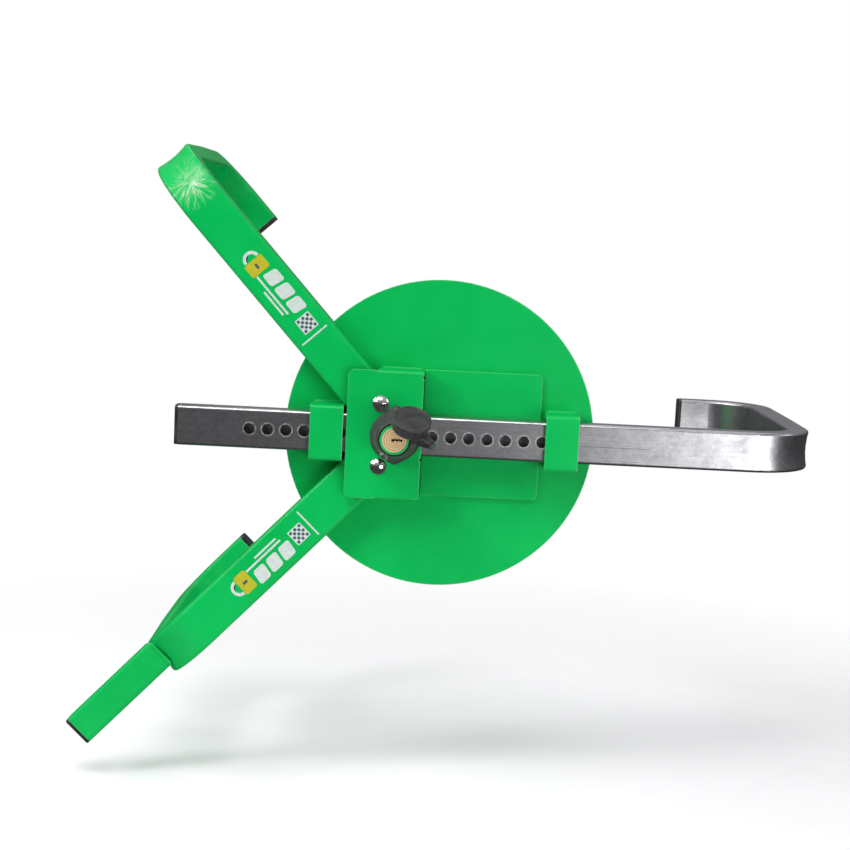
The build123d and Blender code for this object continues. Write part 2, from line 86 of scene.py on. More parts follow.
class Arm:
    """Places on a fixed arm: along it from the meeting point, across it, and from the front."""

    def __init__(self, meeting_x, angle):
        self.start = Vector((meeting_x, 0.0, 0.0))
        self.out = Vector((cos(angle), 0.0, sin(angle)))
        self.side = Vector((-sin(angle), 0.0, cos(angle)))

    def at(self, along, across, y):
        return self.start + self.out * along + self.side * across + Vector((0.0, y, 0.0))


upper = Arm(-35.9 * MM, radians(180 - 47.7))
lower = Arm(-33.4 * MM, radians(180 + 46.3))
upper_reach = 317.5 * MM
lower_reach = 309.5 * MM


# ---------------------------------------------------------------- node helpers


class Shader:
    """A material's node tree, with short calls for the nodes that the finishes share."""

    def __init__(self, name):
        self.material = bpy.data.materials.new(name)
        self.material.use_nodes = True
        self.tree = self.material.node_tree
        self.tree.nodes.clear()
        self.output = self.add("ShaderNodeOutputMaterial")
        self.surface = self.add("ShaderNodeBsdfPrincipled")
        self.link(self.surface.outputs["BSDF"], self.output.inputs["Surface"])
        self.place = self.add("ShaderNodeTexCoord").outputs["Object"]

    def add(self, kind, **settings):
        node = self.tree.nodes.new(kind)
        for key, value in settings.items():
            setattr(node, key, value)
        return node

    def link(self, source, target):
        self.tree.links.new(source, target)

    def feed(self, value, target):
        """Puts a number, a colour or another node's output into a socket."""
        if isinstance(value, bpy.types.NodeSocket):
            self.link(value, target)
        else:
            target.default_value = value

    def set(self, **values):
        """Constants on the surface shader's own sockets."""
        for key, value in values.items():
            self.surface.inputs[key.replace("_", " ")].default_value = value

    def scaled_place(self, scale=(1, 1, 1), turn=(0, 0, 0), shift=(0, 0, 0)):
        mapping = self.add("ShaderNodeMapping")
        mapping.inputs["Location"].default_value = shift
        mapping.inputs["Rotation"].default_value = turn
        mapping.inputs["Scale"].default_value = scale
        self.link(self.place, mapping.inputs["Vector"])
        return mapping.outputs["Vector"]

    def noise(self, scale, detail=4.0, roughness=0.55, place=None, distortion=0.0):
        node = self.add("ShaderNodeTexNoise")
        self.link(place or self.place, node.inputs["Vector"])
        node.inputs["Scale"].default_value = scale
        node.inputs["Detail"].default_value = detail
        node.inputs["Roughness"].default_value = roughness
        node.inputs["Distortion"].default_value = distortion
        return node.outputs["Fac"]

    def cells(self, scale, feature="F1", output="Color", place=None, randomness=1.0):
        node = self.add("ShaderNodeTexVoronoi", feature=feature)
        self.link(place or self.place, node.inputs["Vector"])
        node.inputs["Scale"].default_value = scale
        node.inputs["Randomness"].default_value = randomness
        return node.outputs[output]

    def ramp(self, value, *stops):
        """stops are (position, brightness or colour)."""
        node = self.add("ShaderNodeValToRGB")
        self.link(value, node.inputs["Fac"])
        points = node.color_ramp.elements
        while len(points) > len(stops):
            points.remove(points[-1])
        while len(points) < len(stops):
            points.new(1.0)
        for point, (position, shade) in zip(points, stops):
            point.position = position
            colour = shade if isinstance(shade, (tuple, list)) else (shade, shade, shade)
            point.color = (*colour[:3], 1.0)
        return node.outputs["Color"]

    def math(self, operation, a, b=0.0, c=0.0):
        node = self.add("ShaderNodeMath", operation=operation)
        for value, target in zip((a, b, c), node.inputs):
            self.feed(value, target)
        return node.outputs["Value"]

    def mix(self, share, a, b, blend="MIX"):
        node = self.add("ShaderNodeMix", data_type="RGBA", blend_type=blend)
        self.feed(share, node.inputs["Factor"])
        for value, target in ((a, node.inputs[6]), (b, node.inputs[7])):
            if isinstance(value, (tuple, list)) and len(value) == 3:
                value = (*value, 1.0)
            self.feed(value, target)
        return node.outputs[2]

    def bump(self, height, distance, strength=1.0, below=None):
        node = self.add("ShaderNodeBump")
        node.inputs["Strength"].default_value = strength
        node.inputs["Distance"].default_value = distance
        self.link(height, node.inputs["Height"])
        if below is not None:
            self.link(below, node.inputs["Normal"])
        return node.outputs["Normal"]

    def edges(self, width, gain):
        """0 on flats and up to 1 within width of a corner. Keeps the rounded normal for later."""
        bevel = self.add("ShaderNodeBevel", samples=4)
        bevel.inputs["Radius"].default_value = width
        self.rounded = bevel.outputs["Normal"]
        geometry = self.add("ShaderNodeNewGeometry")
        across = self.add("ShaderNodeVectorMath", operation="DOT_PRODUCT")
        self.link(bevel.outputs["Normal"], across.inputs[0])
        self.link(geometry.outputs["Normal"], across.inputs[1])
        away = self.math("SUBTRACT", 1.0, across.outputs["Value"])
        gained = self.add("ShaderNodeMath", operation="MULTIPLY", use_clamp=True)
        self.link(away, gained.inputs[0])
        gained.inputs[1].default_value = gain
        return gained.outputs["Value"]

    def colour(self, value):
        self.feed(value, self.surface.inputs["Base Color"])

    def rough(self, value):
        self.feed(value, self.surface.inputs["Roughness"])

    def normal(self, value):
        self.link(value, self.surface.inputs["Normal"])


# ---------------------------------------------------------------- finishes


def painted_glare_streaks(m):
    """A painted reflection: whitish streaks that fan out from one spot near the upper arm's bend."""
    spot = upper.at(upper_reach - 34 * MM, -2 * MM, 0.0)
    reach = 30 * MM
    offset = m.scaled_place(shift=(-spot.x, 0.0, -spot.z))
    split = m.add("ShaderNodeSeparateXYZ")
    m.link(offset, split.inputs["Vector"])
    x, z = split.outputs["X"], split.outputs["Z"]
    radius = m.math("SQRT", m.math("ADD", m.math("POWER", x, 2.0), m.math("POWER", z, 2.0)))
    angle = m.math("ARCTAN2", z, x)
    polar = m.add("ShaderNodeCombineXYZ")
    m.link(angle, polar.inputs["X"])
    m.link(m.math("MULTIPLY", radius, 12.0), polar.inputs["Y"])
    streaks = m.ramp(
        m.noise(5.2, 3.0, 0.6, place=polar.outputs["Vector"], distortion=0.25), (0.50, 0.0), (0.62, 1.0)
    )
    toward_fan = m.math("MULTIPLY_ADD", m.math("COSINE", m.math("ADD", angle, 0.9)), 0.5, 0.5)
    fan = m.ramp(toward_fan, (0.1, 0.25), (0.8, 1.0))
    streaks = m.math("MULTIPLY", streaks, fan)
    core = m.ramp(m.math("DIVIDE", radius, reach), (0.10, 1.0), (0.85, 0.0))
    in_front = m.math("LESS_THAN", split.outputs["Y"], 12 * MM)
    core = m.math("MULTIPLY", core, in_front)
    near = m.math("MULTIPLY", m.ramp(m.math("DIVIDE", radius, reach), (0.05, 1.0), (0.50, 0.0)), in_front)
    cloud = m.math("MULTIPLY", m.ramp(m.noise(210.0, 3.0), (0.42, 0.0), (0.66, 0.55)), near)
    rays = m.math("MULTIPLY", streaks, core)
    return m.math("MULTIPLY", m.math("MAXIMUM", rays, cloud), 0.8)


def green_paint():
    """Semi-gloss powder coat: orange peel, faint patches, a painted reflection near the upper arm's bend,
    and paler paint on edges: thin worn paint everywhere, and a painted highlight on right-facing edges.
    """
    m = Shader("green_paint")
    patches = m.noise(9.0, 3.0, 0.6)
    peel = m.noise(520.0, 2.0, 0.5)
    dust = m.noise(2600.0, 2.0, 0.7)
    base = m.mix(m.ramp(patches, (0.3, 0.0), (0.7, 1.0)), (0.0, 0.385, 0.072), (0.0, 0.455, 0.088))
    speck = m.ramp(dust, (0.60, 0.0), (0.78, 0.35))
    base = m.mix(speck, base, (0.01, 0.34, 0.07))
    # painted reflection: whitish glare streaks mixed into the paint colour near the upper arm's bend
    base = m.mix(painted_glare_streaks(m), base, (0.80, 0.80, 0.68))
    edge = m.edges(1.3 * MM, 3.6)
    split = m.add("ShaderNodeSeparateXYZ")
    m.link(m.rounded, split.inputs["Vector"])
    # painted highlight: edges whose rounded normal faces +X get the pale edge colour at full strength,
    # other edges at a quarter
    highlit_side = m.ramp(split.outputs["X"], (0.10, 0.25), (0.40, 1.0))
    uneven = m.ramp(m.noise(60.0), (0.25, 0.5), (0.6, 1.0))
    wear_and_highlight = m.math("MULTIPLY", edge, m.math("MULTIPLY", highlit_side, uneven))
    m.colour(m.mix(wear_and_highlight, base, (0.52, 0.92, 0.64)))
    m.rough(m.ramp(m.noise(35.0, 4.0), (0.25, 0.30), (0.75, 0.44)))
    m.set(Coat_Weight=0.10, Coat_Roughness=0.15)
    m.surface.inputs["Specular IOR Level"].default_value = 0.15
    fine = m.bump(dust, 0.02 * MM, 0.25, below=m.rounded)
    m.normal(m.bump(peel, 0.16 * MM, 0.5, below=fine))
    return m.material


def slide_marks(m):
    """Painted highlight rings round the punched holes, and a drawn line along the tube's front."""
    hole_pitch = 16 * MM
    hole_first = -166 * MM
    hole_last = 90 * MM
    split = m.add("ShaderNodeSeparateXYZ")
    m.link(m.place, split.inputs["Vector"])
    x, y, z = (split.outputs[axis] for axis in "XYZ")
    half = hole_pitch / 2
    in_pitch = m.math("WRAP", m.math("SUBTRACT", x, hole_first - half), hole_pitch, 0.0)
    to_hole = m.math("SUBTRACT", in_pitch, half)
    radius = m.math("SQRT", m.math("ADD", m.math("POWER", to_hole, 2.0), m.math("POWER", z, 2.0)))
    ring = m.ramp(
        m.math("DIVIDE", radius, 10 * MM), (0.48, 0.0), (0.51, 0.85), (0.57, 0.75), (0.66, 0.0)
    )
    front = m.math("LESS_THAN", y, slide_low.y + 3 * MM)
    in_row = m.math(
        "MULTIPLY",
        m.math("GREATER_THAN", x, hole_first - half),
        m.math("LESS_THAN", x, hole_last + half),
    )
    uneven = m.ramp(m.noise(330.0, 3.0), (0.35, 0.05), (0.62, 0.7))
    hole_highlight = m.math("MULTIPLY", m.math("MULTIPLY", ring, uneven), m.math("MULTIPLY", front, in_row))
    off_seam = m.math("ABSOLUTE", m.math("ADD", z, 1.6 * MM))
    line = m.ramp(m.math("DIVIDE", off_seam, 1 * MM), (0.10, 1.0), (0.35, 0.0))
    line = m.math("MULTIPLY", line, m.ramp(m.noise(70.0), (0.3, 0.2), (0.6, 1.0)))
    right_part = m.math("GREATER_THAN", x, hole_last + 2 * hole_pitch - 6 * MM)
    short = m.math("LESS_THAN", x, hole_last + 6 * hole_pitch)
    seam = m.math("MULTIPLY", m.math("MULTIPLY", line, front), m.math("MULTIPLY", right_part, short))
    return hole_highlight, seam


def galvanised():
    """Zinc with soft spangle, drawn lines along the tube and dull grey blotches, with painted highlights
    on the edges and round the holes.
    """
    m = Shader("galvanised")
    spangle_place = m.scaled_place((0.6, 1.0, 1.0))
    spangle = m.cells(330.0, output="Color", place=spangle_place)
    grey = m.add("ShaderNodeRGBToBW")
    m.link(spangle, grey.inputs["Color"])
    blotch = m.noise(70.0, 3.0, 0.55)
    drawn = m.noise(26.0, 5.0, 0.6, place=m.scaled_place((0.7, 30.0, 30.0)))
    fine = m.noise(1500.0, 2.0, 0.6)
    base = m.mix(m.ramp(blotch, (0.32, 0.0), (0.68, 1.0)), (0.38, 0.37, 0.39), (0.58, 0.58, 0.60))
    base = m.mix(m.ramp(fine, (0.38, 0.55), (0.50, 0.0)), base, (0.22, 0.21, 0.23))
    base = m.mix(m.math("MULTIPLY", grey.outputs["Val"], 0.30), base, (0.84, 0.84, 0.86))
    base = m.mix(m.ramp(drawn, (0.42, 0.0), (0.62, 0.35)), base, (0.33, 0.32, 0.34))
    hole_highlight, seam = slide_marks(m)
    # painted highlight: pale rings round the holes, also made less metallic
    base = m.mix(hole_highlight, base, (0.88, 0.88, 0.90))
    base = m.mix(seam, base, (0.10, 0.10, 0.11))
    # painted highlight: all edges of the zinc are lightened towards pale grey
    bright = m.math("MULTIPLY", m.edges(0.9 * MM, 2.5), 0.35)
    m.colour(m.mix(bright, base, (0.9, 0.9, 0.9)))
    m.feed(m.math("MULTIPLY_ADD", hole_highlight, -0.55, 1.0), m.surface.inputs["Metallic"])
    m.rough(m.ramp(blotch, (0.25, 0.36), (0.75, 0.28)))
    scratches = m.bump(drawn, 0.03 * MM, 0.35)
    m.normal(m.bump(fine, 0.02 * MM, 0.3, below=scratches))
    return m.material


def bright_zinc():
    """Polished zinc on the bolts and nuts, with fine scuffs."""
    m = Shader("bright_zinc")
    scuffs = m.noise(900.0, 3.0, 0.6, place=m.scaled_place((1.0, 1.0, 0.2), (0.3, 0.0, 0.7)))
    m.colour(m.ramp(m.noise(300.0), (0.3, (0.72, 0.71, 0.70)), (0.7, (0.90, 0.89, 0.87))))
    m.set(Metallic=1.0)
    m.rough(m.ramp(scuffs, (0.3, 0.06), (0.75, 0.22)))
    m.normal(m.bump(scuffs, 0.015 * MM, 0.4))
    return m.material


def plain_steel(name, shade, roughness):
    """Turned or drawn steel with a light oil film."""
    m = Shader(name)
    lines = m.noise(1800.0, 3.0, 0.6, place=m.scaled_place((0.05, 1.0, 0.05)))
    tone = m.noise(120.0, 3.0)
    m.colour(m.ramp(tone, (0.3, [shade * 0.8] * 3), (0.7, [shade, shade, shade * 1.02])))
    m.set(Metallic=1.0)
    m.rough(m.ramp(lines, (0.3, roughness), (0.7, roughness + 0.15)))
    m.normal(m.bump(lines, 0.01 * MM, 0.5))
    return m.material


def lock_brass():
    """Brass faced on a lathe: rings round the lock's axis, slightly tarnished between them, and painted
    shade on all brass behind the front face.
    """
    m = Shader("lock_brass")
    centred = m.scaled_place(shift=(-lock_x, 0.0, 0.0))
    split = m.add("ShaderNodeSeparateXYZ")
    m.link(centred, split.inputs["Vector"])
    across = m.math("POWER", split.outputs["X"], 2.0)
    up = m.math("POWER", split.outputs["Z"], 2.0)
    radius = m.math("SQRT", m.math("ADD", across, up))
    wander = m.math("MULTIPLY", m.noise(160.0, 2.0), 0.5 * MM)
    ring = m.math("SINE", m.math("MULTIPLY", m.math("ADD", radius, wander), 2 * pi / (2.1 * MM)))
    fine = m.math("SINE", m.math("MULTIPLY", radius, 2 * pi / (0.5 * MM)))
    tone = m.mix(m.noise(220.0, 3.0), (0.74, 0.50, 0.25), (0.92, 0.68, 0.39))
    faced = m.mix(m.ramp(ring, (0.1, 0.0), (0.9, 0.8)), tone, (0.42, 0.255, 0.12))
    # painted shade: brass surfaces behind the lock's front face, such as the keyway walls and wafers, are
    # darkened to near black
    depth = m.math("DIVIDE", m.math("SUBTRACT", split.outputs["Y"], lock_front), 2 * MM)
    keyway_shade = m.ramp(depth, (0.02, 0.0), (0.10, 1.0))
    m.colour(m.mix(keyway_shade, faced, (0.012, 0.010, 0.009)))
    m.set(Metallic=0.35)
    m.rough(m.ramp(m.noise(500.0), (0.3, 0.30), (0.7, 0.46)))
    m.normal(m.bump(fine, 0.01 * MM, 0.35, below=m.bump(ring, 0.05 * MM, 0.6)))
    return m.material


def black_plastic():
    """Moulded plastic with a spark-eroded grain, scuffed paler on its corners."""
    m = Shader("black_plastic")
    grain = m.noise(1900.0, 3.0, 0.6)
    smudge = m.noise(70.0, 4.0)
    base = m.mix(m.ramp(smudge, (0.35, 0.0), (0.75, 1.0)), (0.010, 0.010, 0.011), (0.030, 0.030, 0.032))
    m.colour(m.mix(m.edges(0.8 * MM, 2.0), base, (0.09, 0.09, 0.09)))
    m.rough(m.ramp(smudge, (0.3, 0.36), (0.7, 0.52)))
    m.normal(m.bump(grain, 0.03 * MM, 0.5))
    return m.material


def black_rubber():
    """Soft moulded rubber with a faint bloom, dust in its pores, and corners lightened as rubbed wear and
    as a painted highlight.
    """
    m = Shader("black_rubber")
    bloom = m.noise(140.0, 4.0, 0.6)
    pores = m.noise(2200.0, 3.0, 0.65)
    base = m.mix(m.ramp(bloom, (0.3, 0.0), (0.75, 1.0)), (0.024, 0.023, 0.024), (0.050, 0.048, 0.050))
    base = m.mix(m.ramp(pores, (0.64, 0.0), (0.8, 0.35)), base, (0.11, 0.105, 0.10))
    # corners lightened: part rubbed wear, part a painted highlight on the cap's rim
    m.colour(m.mix(m.edges(0.45 * MM, 1.4), base, (0.34, 0.335, 0.335)))
    m.rough(m.ramp(bloom, (0.3, 0.30), (0.7, 0.44)))
    m.set(Sheen_Weight=0.10, Sheen_Roughness=0.5)
    m.surface.inputs["Specular IOR Level"].default_value = 0.25
    m.normal(m.bump(pores, 0.03 * MM, 0.4))
    return m.material


finishes = {
    "green_paint": green_paint(),
    "galvanised": galvanised(),
    "bright_fasteners": bright_zinc(),
    "plain_steel": plain_steel("turned_steel", 0.62, 0.24),
    "black_plastic": black_plastic(),
    "black_rubber": black_rubber(),
    "lock_brass": lock_brass(),
    "spring_steel": plain_steel("spring_wire", 0.5, 0.32),
}

for row in frame["record"]["subparts"]:
    part = nodes[row["node"]]
    for part_slot in part.material_slots:
        part_slot.material = finishes[row["material_slot"]]


# ---------------------------------------------------------------- camera

camera_place = Vector((-0.6, -1430.0, 182.8)) * MM
camera_yaw = radians(-0.493)
camera_pitch = radians(7.0)
camera_roll = radians(2.722)

forward = Vector(
    (sin(camera_yaw) * cos(camera_pitch), cos(camera_yaw) * cos(camera_pitch), -sin(camera_pitch))
)
level_right = Vector((cos(camera_yaw), -sin(camera_yaw), 0.0))
level_up = level_right.cross(forward)
right = level_right * cos(camera_roll) + level_up * sin(camera_roll)
up = level_up * cos(camera_roll) - level_right * sin(camera_roll)
turn = Matrix((right, up, -forward)).transposed()

camera_data = bpy.data.cameras.new("camera")
camera_data.sensor_width = 36.0
camera_data.lens = 68.64
camera_data.clip_start = 0.05
camera = bpy.data.objects.new("camera", camera_data)
camera.matrix_world = Matrix.Translation(camera_place) @ turn.to_4x4()
bpy.context.scene.collection.objects.link(camera)
bpy.context.scene.camera = camera
bpy.context.scene.view_settings.view_transform = "Standard"


# ---------------------------------------------------------------- light and floor


def area_light(name, place, target, size, power, tint=(1.0, 1.0, 1.0), spread=180.0):
    data = bpy.data.lights.new(name, "AREA")
    data.shape = "RECTANGLE"
    data.size, data.size_y = size
    data.energy = power
    data.color = tint
    data.spread = radians(spread)
    lamp = bpy.data.objects.new(name, data)
    look = Vector(target) - Vector(place)
    lamp.matrix_world = Matrix.Translation(place) @ look.to_track_quat("-Z", "Y").to_matrix().to_4x4()
    lamp.visible_camera = False
    bpy.context.scene.collection.objects.link(lamp)
    return lamp


area_light("key", (-0.5, -1.2, 2.0), (0.0, 0.0, 0.0), (1.7, 0.9), 36.0)
area_light("fill_left", (-1.9, -1.3, 1.2), (0.0, 0.0, 0.0), (0.6, 0.6), 22.0)
area_light("side_right", (1.8, -0.3, 0.9), (0.0, 0.0, 0.0), (0.5, 0.8), 3.0)
area_light("rim_left", (-1.3, -0.2, 0.8), (-0.1, 0.0, 0.0), (0.5, 0.7), 5.0)
area_light("panel_right", (1.02, -1.45, -0.16), (0.30, 0.0, 0.0), (1.05, 0.8), 12.5)
area_light("rim_top", (0.2, 1.3, 1.7), (0.0, 0.1, 0.0), (1.4, 0.5), 7.0)


def studio_world():
    """White where the camera sees it, and a dark room with a soft ceiling for everything else."""
    world = bpy.data.worlds.new("studio")
    world.use_nodes = True
    tree = world.node_tree
    tree.nodes.clear()
    output = tree.nodes.new("ShaderNodeOutputWorld")
    chosen = tree.nodes.new("ShaderNodeMixShader")
    path = tree.nodes.new("ShaderNodeLightPath")
    room = tree.nodes.new("ShaderNodeBackground")
    backdrop = tree.nodes.new("ShaderNodeBackground")
    backdrop.inputs["Color"].default_value = (1.0, 1.0, 1.0, 1.0)
    place = tree.nodes.new("ShaderNodeTexCoord")
    split = tree.nodes.new("ShaderNodeSeparateXYZ")
    height = tree.nodes.new("ShaderNodeValToRGB")
    stops = height.color_ramp.elements
    stops[0].position, stops[0].color = 0.50, (0.055, 0.052, 0.055, 1.0)
    stops[1].position, stops[1].color = 0.85, (0.42, 0.42, 0.44, 1.0)
    shift = tree.nodes.new("ShaderNodeMath")
    shift.operation = "MULTIPLY_ADD"
    shift.inputs[1].default_value = 0.5
    shift.inputs[2].default_value = 0.5
    link = tree.links.new
    link(place.outputs["Generated"], split.inputs["Vector"])
    link(split.outputs["Z"], shift.inputs[0])
    link(shift.outputs["Value"], height.inputs["Fac"])
    link(height.outputs["Color"], room.inputs["Color"])
    link(path.outputs["Is Camera Ray"], chosen.inputs["Fac"])
    link(room.outputs["Background"], chosen.inputs[1])
    link(backdrop.outputs["Background"], chosen.inputs[2])
    link(chosen.outputs["Shader"], output.inputs["Surface"])
    bpy.context.scene.world = world


studio_world()


def pale_floor():
    """A pale round floor that fades out into the backdrop."""
    floor_height = -0.335
    floor_reach = 1.5
    mesh = bpy.data.meshes.new("floor")
    corners = [(x, y, floor_height) for x, y in ((-1, -1), (1, -1), (1, 1), (-1, 1))]
    corners = [(x * floor_reach, y * floor_reach, z) for x, y, z in corners]
    mesh.from_pydata(corners, [], [(0, 1, 2, 3)])
    floor = bpy.data.objects.new("floor", mesh)
    bpy.context.scene.collection.objects.link(floor)
    m = Shader("pale_floor")
    m.colour(m.mix(m.noise(30.0), (0.92, 0.92, 0.92), (0.96, 0.96, 0.96)))
    m.rough(0.7)
    distance = m.add("ShaderNodeVectorMath", operation="LENGTH")
    m.link(m.scaled_place((1.0, 1.0, 0.0)), distance.inputs[0])
    m.feed(
        m.ramp(distance.outputs["Value"], (0.45, 1.0), (0.98, 0.0)),
        m.surface.inputs["Alpha"],
    )
    mesh.materials.append(m.material)
    floor.visible_glossy = False


pale_floor()


# ---------------------------------------------------------------- mesh helpers


def finish_mesh(name, mesh_maker, material, body="clamp_frame", smooth=True):
    mesh = bpy.data.meshes.new(name)
    mesh_maker.normal_update()
    mesh_maker.to_mesh(mesh)
    mesh_maker.free()
    mesh.materials.append(material)
    for face in mesh.polygons:
        face.use_smooth = smooth
    piece = bpy.data.objects.new(name, mesh)
    bpy.context.scene.collection.objects.link(piece)
    if body:
        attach(piece, body)
    return piece


def loft_rings(rings, closed_path=False, capped=True):
    """A bmesh skin through rings that all have the same number of points."""
    maker = bmesh.new()
    rows = [[maker.verts.new(point) for point in ring] for ring in rings]
    pairs = list(zip(rows, rows[1:]))
    if closed_path:
        pairs.append((rows[-1], rows[0]))
    for row, following in pairs:
        for index in range(len(row)):
            other = (index + 1) % len(row)
            maker.faces.new((row[index], row[other], following[other], following[index]))
    if capped and not closed_path:
        maker.faces.new(reversed(rows[0]))
        maker.faces.new(rows[-1])
    bmesh.ops.recalc_face_normals(maker, faces=maker.faces)
    return maker


def superellipse(centre, side, normal, half_width, half_thickness, count=28, power=3.6):
    """One ring of a flat band: a rounded oblong across its path."""
    ring = []
    for index in range(count):
        angle = 2 * pi * index / count
        c, d = cos(angle), sin(angle)
        u = half_width * abs(c) ** (2 / power) * (1 if c >= 0 else -1)
        v = half_thickness * abs(d) ** (2 / power) * (1 if d >= 0 else -1)
        ring.append(centre + side * u + normal * v)
    return ring


def smooth_path(points, steps):
    """Catmull-Rom through the points, with its ends repeated."""
    padded = [points[0] * 2 - points[1], *points, points[-1] * 2 - points[-2]]
    path = []
    for a, b, c, d in zip(padded, padded[1:], padded[2:], padded[3:]):
        for step in range(steps):
            t = step / steps
            path.append(
                0.5
                * (
                    b * 2
                    + (c - a) * t
                    + (a * 2 - b * 5 + c * 4 - d) * t**2
                    + (b * 3 - a - c * 3 + d) * t**3
                )
            )
    path.append(points[-1].copy())
    return path


# ---------------------------------------------------------------- rubber dust cover

rubber = finishes["black_rubber"]
around = 120


def lobed_radius(angle, base):
    """The foot's outline: a circle drawn out into a rounded point above and another below."""
    lobe_radius = 5.0 * MM
    reach = (27.0 if sin(angle) > 0 else 25.0) * MM
    middle = reach - lobe_radius
    off = abs(pi / 2 - abs(atan2(sin(angle), cos(angle))))
    lean = (base - lobe_radius) / middle
    tangent = pi / 2 - asin(lean)
    tip = atan2(lobe_radius * sin(tangent), middle + lobe_radius * cos(tangent))
    if off < tip:
        return middle * cos(off) + sqrt(lobe_radius**2 - (middle * sin(off)) ** 2)
    if off < tangent:
        return base / cos(tangent - off)
    return base


def dust_collar():
    """A flared foot with two lobes, a waisted cone and a beaded lip round the lock housing."""
    bore = housing_radius + 0.05 * MM
    foot = 22.3 * MM
    # radius, distance in front of the cover, and how far the foot's lobes show, in millimetres
    profile = [
        (None, 0.05, 1.0),
        (22.2, 0.3, 1.0),
        (22.3, 1.0, 1.0),
        (22.15, 1.7, 1.0),
        (21.6, 2.3, 0.95),
        (20.9, 3.2, 0.8),
        (20.1, 4.6, 0.6),
        (19.0, 7.0, 0.38),
        (17.9, 9.8, 0.18),
        (16.9, 12.4, 0.05),
        (16.35, 14.0, 0.0),
        (16.0, 14.9, 0.0),
        (15.2, 15.4, 0.0),
        (14.65, 15.9, 0.0),
        (14.55, 17.6, 0.0),
        (14.75, 18.4, 0.0),
        (15.15, 19.0, 0.0),
        (15.25, 20.0, 0.0),
        (15.1, 21.2, 0.0),
        (14.85, 22.2, 0.0),
        (14.4, 22.75, 0.0),
        (13.9, 22.9, 0.0),
        (13.3, 22.7, 0.0),
        (12.95, 22.1, 0.0),
        (12.62, 21.2, 0.0),
        (12.56, 12.0, 0.0),
    ]
    rows = []
    for step in range(around):
        angle = 2 * pi * step / around
        grown = lobed_radius(angle, foot) - foot
        row = [(bore, 0.05 * MM)]
        for radius, ahead, lobe in profile:
            at = foot if radius is None else radius * MM
            row.append((at + grown * lobe, ahead * MM))
        rows.append(
            [Vector((lock_x + r * cos(angle), cover_front - ahead, r * sin(angle))) for r, ahead in row]
        )
    maker = loft_rings(rows, closed_path=True)
    piece = finish_mesh("dust_collar_rubber", maker, rubber)
    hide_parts("dust_collar")


dust_collar()

cap_joint = next(j for j in frame["record"]["behaviour"]["joints"] if j["name"] == "cap_swing")
hinge = Vector(cap_joint["pos_m"])
swing = Matrix.Rotation(-radians(cap_joint["range_deg"][1]), 4, Vector(cap_joint["axis"]))
closed_face = Vector((lock_x, -62.1 * MM, 0.0))
facing_front = Matrix(((1, 0, 0), (0, 0, -1), (0, 1, 0))).to_4x4()
cap_frame = (
    Matrix.Translation(hinge)
    @ swing
    @ Matrix.Translation(closed_face - hinge)
    @ facing_front
)


def tongue(maker, angle, reach, half_width, level, half_thickness, inner=15.9 * MM):
    """A flat tongue that grows out of the cap's skirt and ends round."""
    out = Vector((cos(angle), sin(angle), 0.0))
    side = Vector((-sin(angle), cos(angle), 0.0))
    along = Vector((0.0, 0.0, 1.0))
    end_middle = reach - half_width
    rings = []
    stations = [inner + (end_middle - inner) * k / 4 for k in range(4)]
    stations += [end_middle + half_width * sin(pi / 2 * k / 8) for k in range(9)]
    for place in stations:
        beyond = max(0.0, (place - end_middle) / half_width)
        flare = 1.0 + 0.55 * max(0.0, 1 - (place - inner) / (3.5 * MM)) ** 2
        share = sqrt(max(0.0, 1 - beyond**2))
        width = max(half_width * share * flare, 0.15 * MM)
        thickness = half_thickness * (0.45 + 0.55 * sqrt(share))
        rings.append(superellipse(out * place + along * level, side, along, width, thickness))
    add_rings(maker, rings)


def add_rings(maker, rings):
    rows = [[maker.verts.new(point) for point in ring] for ring in rings]
    for row, following in zip(rows, rows[1:]):
        for index in range(len(row)):
            other = (index + 1) % len(row)
            maker.faces.new((row[index], row[other], following[other], following[index]))
    maker.faces.new(reversed(rows[0]))
    maker.faces.new(rows[-1])


cap_level = -8.2 * MM
strap_angle = radians(285)


def dust_cap():
    """A shallow cup: a beaded rim round a dished face with a moulded recess, and a thin skirt."""
    face_rings = [(0.4 + 13.2 * k / 14, -0.55) for k in range(15)]
    rim = [
        (14.0, -0.40),
        (14.5, -0.12),
        (15.1, 0.0),
        (15.8, -0.06),
        (16.35, -0.42),
        (16.68, -1.0),
        (16.75, -1.8),
        (16.55, -2.5),
        (16.45, -3.2),
        (16.5, -4.6),
        (16.6, -6.6),
        (16.78, -8.2),
        (16.8, -8.9),
        (16.62, -9.35),
        (16.3, -9.5),
        (16.0, -9.35),
        (15.92, -8.8),
        (15.9, -3.2),
        (15.4, -2.6),
        (8.0, -2.5),
        (0.4, -2.5),
    ]
    rings = []
    for number, (radius, height) in enumerate(face_rings + rim):
        ring = []
        for step in range(around):
            angle = 2 * pi * step / around
            u, v = radius * cos(angle), radius * sin(angle)
            lift = height
            if number < len(face_rings):
                lens = (u / 7.2) ** 2 + ((v - 2.4) / 2.3) ** 2
                lift += 0.55 * (1 - (radius / 13.6) ** 2) - 1.15 * exp(-(lens**2))
            ring.append(Vector((u, v, lift)) * MM)
        rings.append(ring)
    maker = bmesh.new()
    add_rings(maker, rings)
    tongue(maker, radians(105), 21.5 * MM, 5.0 * MM, cap_level, 1.2 * MM)
    tongue(maker, strap_angle, 22.5 * MM, 4.4 * MM, cap_level, 1.2 * MM)
    bmesh.ops.recalc_face_normals(maker, faces=maker.faces)
    maker.transform(cap_frame)
    piece = finish_mesh("dust_cap_rubber", maker, rubber, "dust_cap_body")
    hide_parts("dust_cap")


dust_cap()


